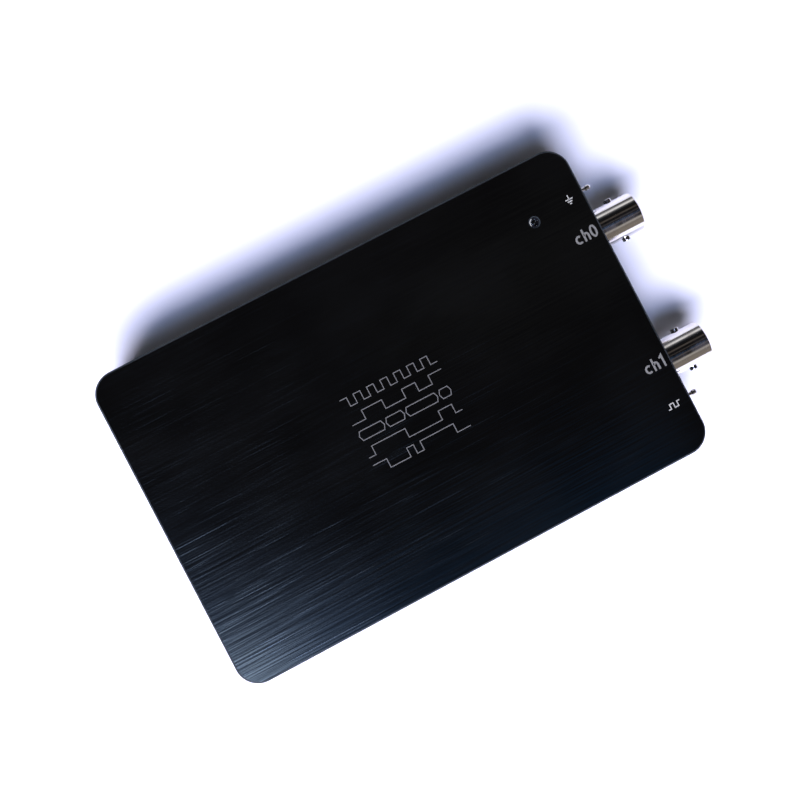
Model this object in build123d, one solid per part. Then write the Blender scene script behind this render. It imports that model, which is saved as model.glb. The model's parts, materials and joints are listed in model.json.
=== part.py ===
from build123d import *
import os

# A pocket two-channel logic analyzer and oscilloscope in a flat case of black anodised aluminium.
# Two milled half shells meet at the height of the input sockets' axis and are drawn together by four
# long screws from below. One circuit board fills the case: the two BNC input sockets and two test
# pins leave it at the front (+X), and the digital header and the two USB sockets at the rear (-X).
#
# Millimetres, +Z up. The origin is on the surface that the feet stand on, under the middle of the
# overall length from the rear face to the tips of the input sockets. The x values below are counted
# from the middle of the case, and in_case() carries them into the part's own frame.

# Case
CASE_LENGTH = 120.0
CASE_WIDTH = 77.5
CASE_HEIGHT = 22.5
CORNER_RADIUS = 5.5
WALL = 2.2
PLATE = 2.0  # thickness of the case's top and of its bottom
EDGE_CHAMFER = 0.4
SEAM_CHAMFER = 0.15
FOOT_PROUD = 1.5

# Main places
SOCKET_REACH = 12.0  # how far an input socket stands out of the front face
CASE_X = -SOCKET_REACH / 2
FRONT = CASE_LENGTH / 2
REAR = -CASE_LENGTH / 2
SIDE = CASE_WIDTH / 2
BOTTOM = FOOT_PROUD
TOP = BOTTOM + CASE_HEIGHT
INNER_FLOOR = BOTTOM + PLATE
INNER_ROOF = TOP - PLATE
SEAM = 13.6  # the half shells part at the height of the input sockets' axis

# Gaps
SNUG = 0.02
CLEARANCE = 0.1
WINDOW_GAP = 0.2  # round what shows in a window of the case

# Lip on the lower shell, which fits a groove in the upper one
LIP_INSET = 1.2
LIP_HEIGHT = 1.2

# Filled corners, and the case screws in them
PILLAR_REACH = 10.0
PILLAR_RADIUS = 3.9
SCREW_INSET = 6.1
SCREW_RADIUS = 1.5
SCREW_LENGTH = 16.0
SCREW_HEAD_RADIUS = 2.75
SCREW_HEAD_HEIGHT = 2.8
SCREW_KEY = 2.5
SCREW_SEAT = 4.5  # height of the counterbore's end
HEAD_GAP = 0.25
BLIND_END = 0.5  # left free beyond a screw's end
SCREW_PLACES = [
    (sx * (FRONT - SCREW_INSET), sy * (SIDE - SCREW_INSET)) for sx in (-1, 1) for sy in (-1, 1)
]

# Feet
FOOT_RADIUS = 5.0
FOOT_RECESS = 0.8
FOOT_CHAMFER = 0.6
FOOT_PLACES = [(sx * 44.0, sy * 27.0) for sx in (-1, 1) for sy in (-1, 1)]

# Circuit board and what fixes it
BOARD_LENGTH = 114.0
BOARD_WIDTH = 71.5
BOARD_THICKNESS = 1.6
BOARD_TOP = 7.2
BOARD_BOTTOM = BOARD_TOP - BOARD_THICKNESS
PILLAR_GAP = 0.5
TAIL_END = BOARD_BOTTOM - 1.4  # how low the soldered tails reach
STANDOFF_RADIUS = 2.8
BOARD_SCREW_RADIUS = 1.25
BOARD_SCREW_HEAD_RADIUS = 2.2
BOARD_SCREW_HEAD_HEIGHT = 1.6
BOARD_SCREW_KEY = 1.6
BOARD_SCREW_END = 2.9
BOARD_SCREW_PLACES = [(sx * 38.0, sy * 31.0) for sx in (-1, 1) for sy in (-1, 1)]
FILM_THICKNESS = 0.25
FILM_MARGIN = 0.6

# BNC input sockets, to the connector's standard sizes
BNC_SIDES = {"bnc_0": 17.3, "bnc_1": -17.3}  # y of each axis
BNC_TIP = FRONT + SOCKET_REACH
BNC_RADIUS = 4.8
BNC_OPENING = BNC_RADIUS + 0.2
BNC_BORE = 4.065
BNC_BORE_END = BNC_TIP - 8.6
BNC_REAR_BORE = 3.5
BNC_EDGE = 0.3
LUG_REACH = 5.5
LUG_RADIUS = 1.0
LUG_X = BNC_TIP - 5.0
LUG_ROOT = BNC_BORE + 0.3
FLANGE_RADIUS = 6.0
FLANGE_FRONT = FRONT - WALL - WINDOW_GAP
FLANGE_THICKNESS = 1.0
THREAD_RADIUS = 4.4
THREAD_LENGTH = 4.6
DIELECTRIC_RADIUS = 2.36
DIELECTRIC_TIP = BNC_TIP - 0.5
CONTACT_RADIUS = 1.0
CONTACT_BORE = 0.7
CONTACT_TIP = BNC_TIP - 0.9
FINGER_LENGTH = 4.0
FINGER_SLOT = 0.2
CONTACT_TAIL_X = 50.5
CONTACT_TAIL_RADIUS = 0.5
HOUSING_LENGTH = 12.0
HOUSING_WIDTH = 12.6
HOUSING_HEIGHT = 12.6
HOUSING_FRONT = FLANGE_FRONT - FLANGE_THICKNESS
THREAD_END = HOUSING_FRONT - THREAD_LENGTH
LEG_X = 52.5
LEG_SPREAD = 4.5
LEG_RADIUS = 0.9
LEG_TOP = BOARD_TOP + 2.6

# Test pins beside the sockets, and the bushings that insulate them from the wall
PIN_SIDES = {"ground_pin": 27.5, "signal_pin": -27.5}
PIN_TIP = FRONT + 5.0
PIN_RADIUS = 0.65
PIN_SHANK_RADIUS = 0.45
PIN_SHOULDER = FRONT + 0.6  # just outside the bushing
PIN_NOSE = 0.35
NECK_RADIUS = 0.48
NECK_FRONT = PIN_TIP - 1.2
NECK_LENGTH = 1.0
NECK_SLOPE = 0.2
PIN_TAIL_X = 48.0
PIN_BEND = 1.6
BUSHING_RADIUS = 1.6
COLLAR_RADIUS = 1.9
COLLAR_THICKNESS = 0.55
OPENING_DEPTH = 4.0  # how far back the front openings are cut

# Status light
LIGHT_X = 46.5
LIGHT_Y = 25.0
LIGHT_RADIUS = 1.1
LIGHT_OPENING = LIGHT_RADIUS + 0.05
LIGHT_CHAMFER = 0.25
LIGHT_DOME = 0.6
LIGHT_SUNK = 0.3
LIGHT_COLLAR_RADIUS = 1.6
LIGHT_COLLAR_THICKNESS = 1.0
LED_SIZE = 2.4
LED_HEIGHT = 1.2
LED_CUP_RADIUS = 0.9
LED_CUP_DEPTH = 0.25

# Digital header: two rows of square pins in a keyed shroud
HEADER_Y = -12.0
HEADER_WIDTH = 27.9
HEADER_HEIGHT = 8.9
HEADER_DEPTH = 9.4
HEADER_CAVITY = 6.8
HEADER_WALL = 1.2
HEADER_CHAMFER = 0.3
HEADER_FRONT = REAR + WINDOW_GAP
HEADER_BACK = HEADER_FRONT + HEADER_DEPTH
HEADER_FLOOR = HEADER_FRONT + HEADER_CAVITY
HEADER_FOOT = BOARD_TOP + 0.05
HEADER_AXIS = HEADER_FOOT + HEADER_HEIGHT / 2
KEY_WIDTH = 4.5
PITCH = 2.54
COLUMNS = [HEADER_Y + (i - 3.5) * PITCH for i in range(8)]
HEADER_PIN = 0.64
HEADER_PIN_FRONT = HEADER_FRONT + 1.0
HEADER_HOLE_RADIUS = 0.5
ROWS = {  # height of each row, and the x where its tails go down
    HEADER_AXIS - PITCH / 2: HEADER_BACK + 1.0,
    HEADER_AXIS + PITCH / 2: HEADER_BACK + 1.0 + PITCH,
}

# USB sockets: the large one for data, the small one for more power
DATA_SOCKET = {"y": 22.5, "width": 7.7, "height": 3.9, "depth": 9.2, "neck": 6.3, "shoulder": 1.5}
POWER_SOCKET = {"y": 10.0, "width": 7.5, "height": 2.6, "depth": 6.2, "neck": 5.4, "shoulder": 1.3}
USB_FRONT = REAR + WINDOW_GAP
USB_METAL = 0.3
USB_CORNER = 0.4
USB_WINDOW_CORNER = 0.6
USB_LEG = 1.0
USB_LEG_X = REAR + 3.9  # the front pair of legs
USB_LEG_HOLE = 0.62
USB_BACK_BLOCK = 1.6
TONGUE_SETBACK = 1.2
TONGUE_THICKNESS = 0.7
USB_PITCH = 0.7
USB_CONTACTS = [(i - 2) * USB_PITCH for i in range(5)]
USB_CONTACT_WIDTH = 0.3
USB_CONTACT_THICKNESS = 0.12

# Analogue front end of each input: a shield can, a relay and a compensation trimmer
CAN = {"x": 21.0, "y": 17.5, "length": 24.0, "width": 20.0, "height": 4.5}
CAN_METAL = 0.25
CAN_CORNER = 0.5
CAN_SKIRT = 2.0
TRACK_GAPS = (-6.0, 0.0, 6.0)
TRACK_GAP_WIDTH = 2.0
TRACK_GAP_HEIGHT = 0.5
VENT_RADIUS = 0.6
VENT_PITCH = 4.0
AMPLIFIER_OFFSET = 5.0
RELAY = {"x": 38.6, "y": 6.6, "length": 9.6, "width": 6.4, "height": 5.0}
TRIMMER = {"x": 38.2, "y": 17.3, "length": 6.6, "width": 6.0, "height": 2.0}
TRIMMER_CHAMFER = 1.2
ROTOR_RADIUS = 2.4
ROTOR_HEIGHT = 1.0
ROTOR_SLOT = (3.8, 0.7, 0.55)
SHAFT_RADIUS = 0.9
SHAFT_END = BOARD_TOP + 0.5
SHAFT_HOLE_END = BOARD_TOP + 0.3
RUNNING_GAP = 0.05

# Chips, by the middle and size of the moulded body
LOGIC = {"x": -12.0, "y": 0.0, "length": 15.0, "width": 15.0, "height": 1.5}
CONVERTER = {"x": 3.2, "y": 0.0, "length": 7.0, "width": 7.0, "height": 1.4}
USB_CONTROLLER = {"x": -36.0, "y": 15.5, "length": 10.0, "width": 10.0, "height": 1.4}
MEMORY = {"x": -12.0, "y": 21.0, "length": 18.4, "width": 10.2, "height": 1.2}
MICROCONTROLLER = {"x": -34.0, "y": -2.0, "length": 10.2, "width": 5.3, "height": 1.6}
AMPLIFIER = {"length": 4.9, "width": 3.9, "height": 1.6}
CHIP_CHAMFER = 0.15
CHIP_LIFT = 0.1
SUBSTRATE = 17.0
SUBSTRATE_THICKNESS = 0.4
BALL_HEIGHT = 0.3
BALL_RADIUS = 0.35
BALL_PITCH = 2.2
LEAD_METAL = 0.15

# Other components, each as length, width and height with the places of its middles
OSCILLATOR = {"places": [(-25.9, 10.2)], "size": (5.0, 3.2, 1.2)}
CRYSTAL = {"place": (-28.0, 27.0), "size": (11.0, 4.4, 3.6)}
INDUCTORS = {"places": [(x, -23.0) for x in (-22.0, -30.5, -39.0)], "size": (6.4, 6.4, 3.0)}
WINDING_RADIUS = 2.1
WINDING_DEPTH = 0.2
TANTALUMS = {
    "places": [(-22.0, -31.2), (-30.0, -31.2), (-6.0, -24.0), (-6.0, -30.0), (5.0, -31.5), (5.0, 31.5)],
    "size": (6.0, 3.2, 2.5),
}
CAN_ROW = [(CAN["x"] - 8.0 + 3.2 * i, side * CAN["y"]) for i in range(6) for side in (-1, 1)]
CAPACITORS = {
    "places": [(-23.0, 3.0 * j) for j in range(-2, 2)]
    + [(-18.0 + 3.2 * i, side * 11.0) for i in range(5) for side in (-1, 1)]
    + [(x, y + 6.0) for x, y in CAN_ROW],
    "size": (1.6, 0.8, 0.8),
}
RESISTORS = {
    "places": [(-44.6, -24.0 + 3.0 * i) for i in range(9)] + [(x, y - 6.0) for x, y in CAN_ROW],
    "size": (1.6, 0.8, 0.45),
}


def in_case(x, y=0.0, z=0.0):
    """The place of a point whose x is counted from the middle of the case."""
    return Pos(CASE_X + x, y, z)


def block(x0, x1, y0, y1, z0, z1):
    """A box between two corners."""
    return in_case((x0 + x1) / 2, (y0 + y1) / 2, (z0 + z1) / 2) * Box(x1 - x0, y1 - y0, z1 - z0)


def box_at(x, y, length, width, z0, z1):
    """A box standing from z0 to z1 over a point."""
    return in_case(x, y, (z0 + z1) / 2) * Box(length, width, z1 - z0)


def post(radius, x, y, z0, z1):
    """A round post along Z."""
    return in_case(x, y, (z0 + z1) / 2) * Cylinder(radius, z1 - z0)


def rod(radius, x0, x1, y, z=SEAM):
    """A round rod along X."""
    return in_case((x0 + x1) / 2, y, z) * Rot(Y=90) * Cylinder(radius, x1 - x0)


def prism(outline, z0, z1):
    """An outline drawn about the middle of the case, raised from z0 to z1."""
    return in_case(0, 0, z0) * extrude(outline, z1 - z0)


def turned(profile, y):
    """A profile of x and radius, turned about the line along X at this y and the seam's height."""
    return in_case(0, y, SEAM) * revolve(make_face(Polyline(*profile, close=True)), Axis.X)


def group(pieces):
    """Several separate solids that make one node."""
    return Compound(children=[solid for piece in pieces for solid in piece.solids()])


def top_edges(solid):
    return solid.faces().sort_by(Axis.Z)[-1].edges()


def bottom_edges(solid):
    return solid.faces().sort_by(Axis.Z)[0].edges()


# ---------------------------------------------------------------- case


def case_outline(inset=0.0):
    """The case's outline, moved inwards by an inset."""
    return RectangleRounded(CASE_LENGTH - 2 * inset, CASE_WIDTH - 2 * inset, CORNER_RADIUS - inset)


def corners(reach, radius):
    """A rounded square over each corner of the case, in plan."""
    square = RectangleRounded(2 * reach, 2 * reach, radius)
    return [Pos(sx * FRONT, sy * SIDE) * square for sx in (-1, 1) for sy in (-1, 1)]


def inside_plan():
    """The hollow of both shells, in plan: inside the walls and clear of the filled corners."""
    return case_outline(WALL) - corners(PILLAR_REACH, PILLAR_RADIUS)


def front_openings():
    """The round holes for the sockets and the test pins, half in each shell."""
    back = FRONT - OPENING_DEPTH
    openings = [rod(BNC_OPENING, back, FRONT, y) for y in BNC_SIDES.values()]
    for y in PIN_SIDES.values():
        openings.append(rod(BUSHING_RADIUS + CLEARANCE / 2, back, FRONT, y))
        openings.append(rod(COLLAR_RADIUS + CLEARANCE, back, FRONT - WALL, y))
    return openings


def lip_gaps():
    """Gaps in the lip where the sockets and the test pins pass over it."""
    widths = {y: BNC_OPENING for y in BNC_SIDES.values()}
    widths.update({y: COLLAR_RADIUS + CLEARANCE for y in PIN_SIDES.values()})
    top = SEAM + LIP_HEIGHT
    return [block(FRONT - OPENING_DEPTH, FRONT, y - half, y + half, SEAM, top) for y, half in widths.items()]


def header_window():
    """The window for the digital header, cut across the seam."""
    return in_case(REAR + WALL / 2, HEADER_Y, HEADER_AXIS) * Box(
        2 * WALL, HEADER_WIDTH + 2 * WINDOW_GAP, HEADER_HEIGHT + 2 * WINDOW_GAP
    )


def usb_window(socket):
    middle = BOARD_TOP + socket["height"] / 2
    window = in_case(REAR + WALL / 2, socket["y"], middle) * Box(
        2 * WALL, socket["width"] + 2 * WINDOW_GAP, socket["height"] + 2 * WINDOW_GAP
    )
    return fillet(window.edges().filter_by(Axis.X), USB_WINDOW_CORNER)


def upper_shell():
    shell = prism(case_outline(), SEAM, TOP)
    shell = chamfer(top_edges(shell), EDGE_CHAMFER)
    shell = chamfer(bottom_edges(shell), SEAM_CHAMFER)
    shell -= prism(inside_plan(), SEAM, INNER_ROOF)
    groove = case_outline(LIP_INSET - CLEARANCE) - case_outline(WALL + CLEARANCE)
    shell -= prism(groove, SEAM, SEAM + LIP_HEIGHT + CLEARANCE)
    shell -= front_openings()
    shell -= header_window()
    for x, y in SCREW_PLACES:
        shell -= post(SCREW_RADIUS, x, y, SEAM, SCREW_SEAT + SCREW_LENGTH + BLIND_END)
    shell -= post(LIGHT_OPENING, LIGHT_X, LIGHT_Y, INNER_ROOF, TOP)
    shell -= in_case(LIGHT_X, LIGHT_Y, TOP - LIGHT_CHAMFER / 2) * Cone(
        LIGHT_OPENING, LIGHT_OPENING + LIGHT_CHAMFER, LIGHT_CHAMFER
    )
    return shell


def lower_shell():
    shell = prism(case_outline(), BOTTOM, SEAM)
    shell = chamfer(bottom_edges(shell), EDGE_CHAMFER)
    shell = chamfer(top_edges(shell), SEAM_CHAMFER)
    shell += prism(case_outline(LIP_INSET) - case_outline(WALL), SEAM - WALL, SEAM + LIP_HEIGHT)
    shell -= prism(inside_plan(), INNER_FLOOR, SEAM)
    for x, y in BOARD_SCREW_PLACES:
        shell += post(STANDOFF_RADIUS, x, y, BOTTOM + PLATE / 2, BOARD_BOTTOM)
        shell -= post(BOARD_SCREW_RADIUS, x, y, BOARD_SCREW_END - BLIND_END, BOARD_BOTTOM)
    shell -= front_openings()
    shell -= lip_gaps()
    shell -= header_window()
    shell -= [usb_window(DATA_SOCKET), usb_window(POWER_SOCKET)]
    for x, y in SCREW_PLACES:
        shell -= post(SCREW_RADIUS + CLEARANCE, x, y, BOTTOM, SEAM)
        shell -= post(SCREW_HEAD_RADIUS + HEAD_GAP, x, y, BOTTOM, SCREW_SEAT)
    for x, y in FOOT_PLACES:
        shell -= post(FOOT_RADIUS, x, y, BOTTOM, BOTTOM + FOOT_RECESS)
    return shell


def rubber_feet():
    feet = [post(FOOT_RADIUS - CLEARANCE, x, y, 0, BOTTOM + FOOT_RECESS) for x, y in FOOT_PLACES]
    return group([chamfer(bottom_edges(foot), FOOT_CHAMFER) for foot in feet])


def screw(radius, length, head_radius, head_height, key):
    """A socket-head screw with its seat at z = 0, its shank up and its head down."""
    shank = Pos(0, 0, length / 2) * Cylinder(radius, length)
    shank = chamfer(top_edges(shank), radius / 4)
    head = Pos(0, 0, -head_height / 2) * Cylinder(head_radius, head_height)
    head = chamfer(bottom_edges(head), head_height / 10)
    socket = extrude(RegularPolygon(key / 2, 6, major_radius=False), head_height * 0.6)
    return shank + head - Pos(0, 0, -head_height) * socket


def case_screws():
    one = screw(SCREW_RADIUS, SCREW_LENGTH, SCREW_HEAD_RADIUS, SCREW_HEAD_HEIGHT, SCREW_KEY)
    return group([in_case(x, y, SCREW_SEAT) * one for x, y in SCREW_PLACES])


# ---------------------------------------------------------------- input sockets


def bnc_barrel(y):
    """Shell with two bayonet lugs, a flange behind the case's wall and a threaded tail."""
    barrel = turned([
        (BNC_TIP, BNC_BORE + BNC_EDGE), (BNC_TIP, BNC_RADIUS - BNC_EDGE),
        (BNC_TIP - BNC_EDGE, BNC_RADIUS), (FLANGE_FRONT, BNC_RADIUS),
        (FLANGE_FRONT, FLANGE_RADIUS), (HOUSING_FRONT, FLANGE_RADIUS),
        (HOUSING_FRONT, THREAD_RADIUS), (THREAD_END, THREAD_RADIUS),
        (THREAD_END, BNC_REAR_BORE), (BNC_BORE_END, BNC_REAR_BORE),
        (BNC_BORE_END, BNC_BORE), (BNC_TIP - BNC_EDGE, BNC_BORE),
    ], y)  # fmt: skip
    length = LUG_REACH - LUG_ROOT
    lug = Pos(0, 0, LUG_ROOT + length / 2) * Cylinder(LUG_RADIUS, length)
    lug = fillet(top_edges(lug), LUG_RADIUS / 5)
    for turn in (90, -90):
        barrel += in_case(LUG_X, y, SEAM) * Rot(X=turn) * lug
    return barrel


def bnc_insulator(y):
    hole = CONTACT_RADIUS + SNUG
    rear = BNC_REAR_BORE - SNUG
    end = THREAD_END - CLEARANCE * 8
    edge = DIELECTRIC_RADIUS / 12
    return turned([
        (DIELECTRIC_TIP, hole), (DIELECTRIC_TIP, DIELECTRIC_RADIUS - edge),
        (DIELECTRIC_TIP - edge, DIELECTRIC_RADIUS), (BNC_BORE_END, DIELECTRIC_RADIUS),
        (BNC_BORE_END, rear), (end, rear), (end, hole),
    ], y)  # fmt: skip


def bnc_contact(y):
    """Socket contact with four spring fingers, and the tail that goes down into the board."""
    bore_end = CONTACT_TIP - 1.5 * FINGER_LENGTH
    rear = CONTACT_TAIL_X - CONTACT_TAIL_RADIUS
    sleeve = turned([
        (CONTACT_TIP, CONTACT_BORE), (CONTACT_TIP, CONTACT_RADIUS - CLEARANCE),
        (CONTACT_TIP - CLEARANCE, CONTACT_RADIUS), (rear, CONTACT_RADIUS), (rear, 0),
        (bore_end - CONTACT_BORE, 0), (bore_end, CONTACT_BORE),
    ], y)  # fmt: skip
    slot = Box(FINGER_LENGTH, 3 * CONTACT_RADIUS, FINGER_SLOT)
    middle = in_case(CONTACT_TIP - FINGER_LENGTH / 2, y, SEAM)
    sleeve -= [middle * Rot(X=45) * slot, middle * Rot(X=-45) * slot]
    return sleeve + post(CONTACT_TAIL_RADIUS, CONTACT_TAIL_X, y, TAIL_END, SEAM)


def leg_sides(y):
    return [y + side * LEG_SPREAD for side in (-1, 1)]


def bnc_housing(y):
    """Moulded block that carries the barrel on the board."""
    back = HOUSING_FRONT - HOUSING_LENGTH
    half = HOUSING_WIDTH / 2
    body = block(back, HOUSING_FRONT, y - half, y + half, BOARD_TOP, BOARD_TOP + HOUSING_HEIGHT)
    body = chamfer(top_edges(body), HOUSING_HEIGHT / 20)
    body -= rod(THREAD_RADIUS + SNUG, THREAD_END, HOUSING_FRONT, y)
    body -= rod(BNC_REAR_BORE + CLEARANCE, back + WALL, THREAD_END, y)
    slot = 2 * CONTACT_RADIUS
    body -= box_at(CONTACT_TAIL_X, y, slot, slot, BOARD_TOP, SEAM)
    return body - [post(LEG_RADIUS, LEG_X, side, BOARD_TOP, LEG_TOP) for side in leg_sides(y)]


def bnc_legs(y):
    """Two legs that fix the housing to the board."""
    return group([post(LEG_RADIUS, LEG_X, side, TAIL_END, LEG_TOP) for side in leg_sides(y)])


# ---------------------------------------------------------------- test pins and status light


def test_pin(y):
    """A round head with a neck for a hook or clip, on a thinner shank bent down into the board."""
    bent = FilletPolyline(
        (CASE_X + PIN_SHOULDER, y, SEAM), (CASE_X + PIN_TAIL_X, y, SEAM),
        (CASE_X + PIN_TAIL_X, y, TAIL_END), radius=PIN_BEND,
    )  # fmt: skip
    shank = sweep(Plane(origin=bent @ 0, z_dir=bent % 0) * Circle(PIN_SHANK_RADIUS), path=bent)
    neck_back = NECK_FRONT - NECK_LENGTH
    head = turned([
        (PIN_SHOULDER, 0), (PIN_SHOULDER, PIN_RADIUS), (neck_back, PIN_RADIUS),
        (neck_back + NECK_SLOPE, NECK_RADIUS), (NECK_FRONT - NECK_SLOPE, NECK_RADIUS),
        (NECK_FRONT, PIN_RADIUS), (PIN_TIP - PIN_NOSE, PIN_RADIUS),
        (PIN_TIP, PIN_RADIUS - PIN_NOSE), (PIN_TIP, 0),
    ], y)  # fmt: skip
    return shank + head


def pin_bushing(y):
    """Insulating bushing, held in the wall between an outer and an inner collar."""
    outside = FRONT + SNUG
    inside = FRONT - WALL - SNUG
    hole = PIN_SHANK_RADIUS + SNUG
    edge = 2 * CLEARANCE
    return turned([
        (outside + COLLAR_THICKNESS, hole), (outside + COLLAR_THICKNESS, COLLAR_RADIUS - edge),
        (outside + COLLAR_THICKNESS - edge, COLLAR_RADIUS), (outside, COLLAR_RADIUS),
        (outside, BUSHING_RADIUS), (inside, BUSHING_RADIUS), (inside, COLLAR_RADIUS),
        (inside - COLLAR_THICKNESS, COLLAR_RADIUS), (inside - COLLAR_THICKNESS, hole),
    ], y)  # fmt: skip


def light_pipe():
    """Clear rod from the status LED to its hole in the case's top, with a collar under the roof."""
    foot = BOARD_TOP + LED_HEIGHT + LIGHT_SUNK
    collar = INNER_ROOF - CLEARANCE
    pipe = post(LIGHT_RADIUS, LIGHT_X, LIGHT_Y, foot, TOP - LIGHT_SUNK)
    pipe = fillet(top_edges(pipe), LIGHT_DOME)
    return pipe + post(LIGHT_COLLAR_RADIUS, LIGHT_X, LIGHT_Y, collar - LIGHT_COLLAR_THICKNESS, collar)


def status_led():
    top = BOARD_TOP + LED_HEIGHT
    body = box_at(LIGHT_X, LIGHT_Y, LED_SIZE, LED_SIZE, BOARD_TOP, top)
    return body - post(LED_CUP_RADIUS, LIGHT_X, LIGHT_Y, top - LED_CUP_DEPTH, top)


# ---------------------------------------------------------------- rear sockets


def header_shroud():
    half = HEADER_WIDTH / 2
    top = HEADER_FOOT + HEADER_HEIGHT
    body = block(HEADER_FRONT, HEADER_BACK, HEADER_Y - half, HEADER_Y + half, HEADER_FOOT, top)
    body = chamfer(body.edges().filter_by(Axis.X), HEADER_CHAMFER)
    inner = half - HEADER_WALL
    body -= block(
        HEADER_FRONT, HEADER_FLOOR, HEADER_Y - inner, HEADER_Y + inner,
        HEADER_FOOT + HEADER_WALL, top - HEADER_WALL,
    )  # fmt: skip
    key = KEY_WIDTH / 2
    body -= block(HEADER_FRONT, HEADER_FLOOR, HEADER_Y - key, HEADER_Y + key, HEADER_AXIS, top)
    hole = HEADER_PIN / 2 + SNUG
    for y in COLUMNS:
        for z in ROWS:
            body -= block(HEADER_FLOOR, HEADER_BACK, y - hole, y + hole, z - hole, z + hole)
    return body


def header_pin(y, z, tail):
    """A square pin, pointed at the front and turned down into the board at the tail."""
    half = HEADER_PIN / 2
    level = block(HEADER_PIN_FRONT, tail + half, y - half, y + half, z - half, z + half)
    level = chamfer(level.faces().sort_by(Axis.X)[0].edges(), half / 2)
    return level + box_at(tail, y, HEADER_PIN, HEADER_PIN, TAIL_END, z)


def header_pins():
    return group([header_pin(y, z, tail) for y in COLUMNS for z, tail in ROWS.items()])


def usb_prism(socket, inset, x0, x1):
    """The mouth of a USB socket, wide above and narrower below, drawn in y and z and run along X."""
    half = socket["width"] / 2 - inset
    neck = socket["neck"] / 2 - inset
    low = inset
    high = socket["height"] - inset
    shoulder = low + socket["shoulder"]
    face = make_face(Polyline(
        (-half, high), (half, high), (half, shoulder), (neck, low), (-neck, low), (-half, shoulder),
        close=True,
    ))  # fmt: skip
    face = fillet(face.vertices(), USB_CORNER)
    stood = Plane(origin=(CASE_X + x0, socket["y"], BOARD_TOP), x_dir=(0, 1, 0), z_dir=(1, 0, 0))
    return extrude(stood * face, x1 - x0)


def usb_leg_places(socket):
    """The four legs of a USB socket's shell, as x and y."""
    rows = (USB_LEG_X, USB_FRONT + socket["depth"] - USB_LEG / 2)
    out = socket["width"] / 2 - USB_METAL / 2
    return [(x, socket["y"] + side * out) for x in rows for side in (-1, 1)]


def usb_shell(socket):
    back = USB_FRONT + socket["depth"]
    shell = usb_prism(socket, 0, USB_FRONT, back) - usb_prism(socket, USB_METAL, USB_FRONT, back)
    middle = BOARD_TOP + socket["height"] / 2
    return shell + [box_at(x, y, USB_LEG, USB_METAL, TAIL_END, middle) for x, y in usb_leg_places(socket)]


def usb_tongue(socket):
    """Moulded back block and the tongue over the contacts."""
    back = USB_FRONT + socket["depth"]
    block_front = back - USB_BACK_BLOCK
    half = USB_CONTACTS[-1] + USB_PITCH / 2
    under = BOARD_TOP + socket["height"] / 2
    tongue = block(
        USB_FRONT + TONGUE_SETBACK, block_front, socket["y"] - half, socket["y"] + half,
        under, under + TONGUE_THICKNESS,
    )  # fmt: skip
    return usb_prism(socket, USB_METAL, block_front, back) + tongue


def usb_contacts(socket):
    """Flat contacts on the underside of the tongue."""
    front = USB_FRONT + TONGUE_SETBACK + CLEARANCE
    back = USB_FRONT + socket["depth"] - USB_BACK_BLOCK
    under = BOARD_TOP + socket["height"] / 2
    middle = (front + back) / 2
    return group([
        box_at(middle, socket["y"] + y, back - front, USB_CONTACT_WIDTH, under - USB_CONTACT_THICKNESS, under)
        for y in USB_CONTACTS
    ])  # fmt: skip


# ---------------------------------------------------------------- board


def board_holes():
    """The round holes in the board, as x, y and radius."""
    play = 2 * CLEARANCE
    holes = [(x, y, BOARD_SCREW_RADIUS + play) for x, y in BOARD_SCREW_PLACES]
    for y in BNC_SIDES.values():
        holes.append((CONTACT_TAIL_X, y, CONTACT_TAIL_RADIUS + play))
        holes += [(LEG_X, side, LEG_RADIUS + play) for side in leg_sides(y)]
    holes += [(PIN_TAIL_X, y, PIN_SHANK_RADIUS + play) for y in PIN_SIDES.values()]
    holes += [(x, y, HEADER_HOLE_RADIUS) for x in ROWS.values() for y in COLUMNS]
    for socket in (DATA_SOCKET, POWER_SOCKET):
        holes += [(x, y, USB_LEG_HOLE) for x, y in usb_leg_places(socket)]
    return holes


def main_board():
    plan = Rectangle(BOARD_LENGTH, BOARD_WIDTH)
    plan -= corners(PILLAR_REACH + PILLAR_GAP, PILLAR_RADIUS + PILLAR_GAP)
    plan -= [Pos(x, y) * Circle(radius) for x, y, radius in board_holes()]
    return prism(plan, BOARD_BOTTOM, BOARD_TOP)


def insulating_film():
    """Thin film on the inner floor that keeps the soldered tails off the metal."""
    plan = case_outline(WALL + FILM_MARGIN)
    plan -= corners(PILLAR_REACH + FILM_MARGIN, PILLAR_RADIUS + FILM_MARGIN)
    plan -= [Pos(x, y) * Circle(STANDOFF_RADIUS + FILM_MARGIN) for x, y in BOARD_SCREW_PLACES]
    return prism(plan, INNER_FLOOR, INNER_FLOOR + FILM_THICKNESS)


def board_screws():
    length = BOARD_TOP - BOARD_SCREW_END
    one = screw(
        BOARD_SCREW_RADIUS, length, BOARD_SCREW_HEAD_RADIUS, BOARD_SCREW_HEAD_HEIGHT, BOARD_SCREW_KEY
    )
    return group([in_case(x, y, BOARD_TOP) * Rot(X=180) * one for x, y in BOARD_SCREW_PLACES])


def chip(x, y, length, width, height, lift=CHIP_LIFT):
    """A moulded chip body with a bevelled top and a dimple by its first pin."""
    top = BOARD_TOP + height
    body = chamfer(top_edges(box_at(x, y, length, width, BOARD_TOP + lift, top)), CHIP_CHAMFER)
    dimple = min(length, width) * 0.08
    corner_x = x - length / 2 + 3 * dimple
    corner_y = y - width / 2 + 3 * dimple
    return body - post(dimple, corner_x, corner_y, top - CHIP_LIFT, top)


def lead(width):
    """A gull-wing lead that leaves the body at x = 0 and stands on z = 0 further out."""
    level, knee, foot, toe = 0.6, 0.3, 0.5, 1.0
    face = Plane.XZ * make_face(Polyline(
        (0, level + LEAD_METAL), (knee, level + LEAD_METAL), (foot, LEAD_METAL), (toe, LEAD_METAL),
        (toe, 0), (foot - LEAD_METAL, 0), (knee - LEAD_METAL, level), (0, level), close=True,
    ))  # fmt: skip
    return extrude(face, width / 2, both=True)


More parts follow.
